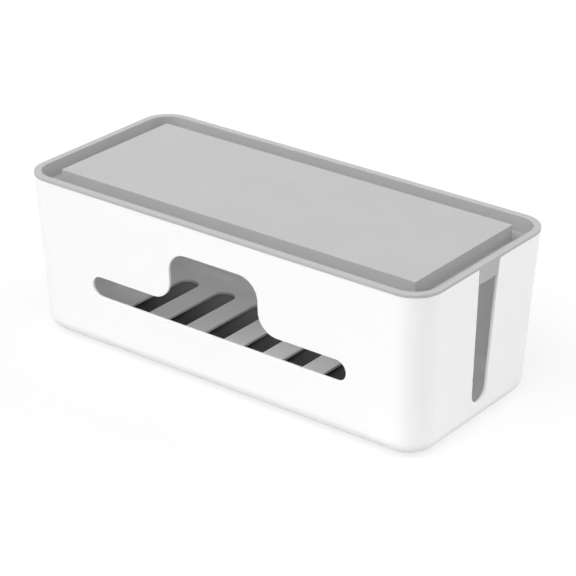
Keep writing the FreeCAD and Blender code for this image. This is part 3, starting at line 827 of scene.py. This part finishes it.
# Painted light: under the box the floor glows a little to the lens, more towards the back.
painted_creep = add(floor_tree, "ShaderNodeMapRange")
feed(floor_tree, painted_creep, {
    "Value": spot.outputs["Y"], "From Min": CREEP_START, "From Max": CREEP_END,
    "To Max": PAINTED_CREEP_SHARE,
})
plain_or_painted_light = math_node(floor_tree, "MAXIMUM", pale_past_painted_shade, painted_creep.outputs["Result"])
print("most of the light from behind:", PAINTED_CREEP_SHARE)

# %% What the lens and the gloss see of the floor
# The last shade is a painted shade: the floor's colour under the box, dark for the shade there.
SEEN_SHADE, BOUNCE_SHADE, UNDER_BOX_PAINTED_SHADE = 0.90, 0.60, 0.08
SHADOW_SHARE = 0.25


def seen_plainly(tree):
    """1 for rays from the lens or off a glossy or clear surface, and 0 for all others."""
    rays = add(tree, "ShaderNodeLightPath")
    glossy_too = math_node(
        tree, "MAXIMUM", rays.outputs["Is Camera Ray"], rays.outputs["Is Glossy Ray"],
    )
    return math_node(tree, "MAXIMUM", glossy_too, rays.outputs["Is Transmission Ray"])


seen = seen_plainly(floor_tree)
shader = floor_tree.nodes["Principled BSDF"]
open_floor = blend_shades(floor_tree, seen, BOUNCE_SHADE, SEEN_SHADE)
# Under the box the floor's colour takes the painted shade.
feed(floor_tree, shader, {
    "Base Color": blend_shades(floor_tree, pale_past_painted_shade, UNDER_BOX_PAINTED_SHADE, open_floor),
    "Roughness": 1.0, "Specular IOR Level": 0.0,
})
glow = add(floor_tree, "ShaderNodeEmission")
feed(floor_tree, glow, {"Strength": 1.0})
# What glows to the lens: the plain white floor, and under the box only the painted light.
seen_glow = math_node(floor_tree, "MULTIPLY", seen, plain_or_painted_light)
mix = add(floor_tree, "ShaderNodeMixShader")
feed(floor_tree, mix, {
    0: math_node(floor_tree, "MULTIPLY", seen_glow, 1 - SHADOW_SHARE),
    1: shader.outputs["BSDF"], 2: glow.outputs["Emission"],
})
feed(floor_tree, floor_tree.nodes["Material Output"], {"Surface": mix.outputs["Shader"]})
floor.data.materials.append(floor_material)
print("share of the real light in what is seen of the floor:", SHADOW_SHARE)

# %% [markdown]
# ## The light
# Large soft lamps from far away, as a studio's softboxes: each lights every face that looks
# its way alike. The strongest stand high in front and behind the right end, and together
# they stay under the level at which the white plastic turns to a blank. The world is white
# to the lens and to the gloss, so that the plastic reflects a white room, and gives no light
# of its own.

# %% The world
bpy.context.scene.view_settings.view_transform = "Standard"
world = bpy.data.worlds.new("studio")
bpy.context.scene.world = world
world.use_nodes = True
sky_tree = world.node_tree
feed(sky_tree, sky_tree.nodes["Background"], {
    "Color": (1, 1, 1, 1), "Strength": seen_plainly(sky_tree),
})
print("world:", world.name)

# %% The softboxes
SOFTNESS = math.radians(50)

# Name, degrees round from the front to the right, degrees up, and strength.
SOFTBOXES = [
    ("front_high", 0, 50, 1.71),
    ("left_front_high", -50, 50, 0.74),
    ("left_front_low", -50, 12, 0.93),
    ("right_front_high", 50, 50, 0.51),
    ("right_front_low", 50, 12, 0.73),
    ("right_back", 140, 30, 1.88),
    ("left_back", -140, 30, 0.20),
]


def add_lamp(name, kind, **settings):
    """A lamp with its settings, placed in the scene."""
    lamp = bpy.data.lights.new(name, kind)
    for setting, value in settings.items():
        setattr(lamp, setting, value)
    holder = bpy.data.objects.new(name, lamp)
    bpy.context.scene.collection.objects.link(holder)
    return holder


for name, azimuth, elevation, strength in SOFTBOXES:
    holder = add_lamp(name, "SUN", energy=strength, angle=SOFTNESS)
    toward = direction(math.radians(azimuth), math.radians(elevation))
    holder.rotation_euler = toward.to_track_quat("Z", "Y").to_euler()
print("softboxes:", [name for name, *_ in SOFTBOXES])

# %% [markdown]
# A thin white shell lets some light through and passes it on inside, over more bounces than
# a render takes. A broad, weak lamp under the lid stands for that light. Neither the lens
# nor the gloss sees it, and it shines on nothing outside the tub but a little of the floor.

# %% The glow inside the tub
GLOW_LENGTH, GLOW_WIDTH, GLOW_HEIGHT = 0.26, 0.09, 0.100
GLOW_WATTS = 0.031

holder = add_lamp(
    "glow_inside", "AREA", shape="RECTANGLE", size=GLOW_LENGTH, size_y=GLOW_WIDTH,
    energy=GLOW_WATTS,
)
holder.location = (0, 0, GLOW_HEIGHT)
holder.visible_camera = False
holder.visible_glossy = False
print("glow inside:", GLOW_WATTS, "W")
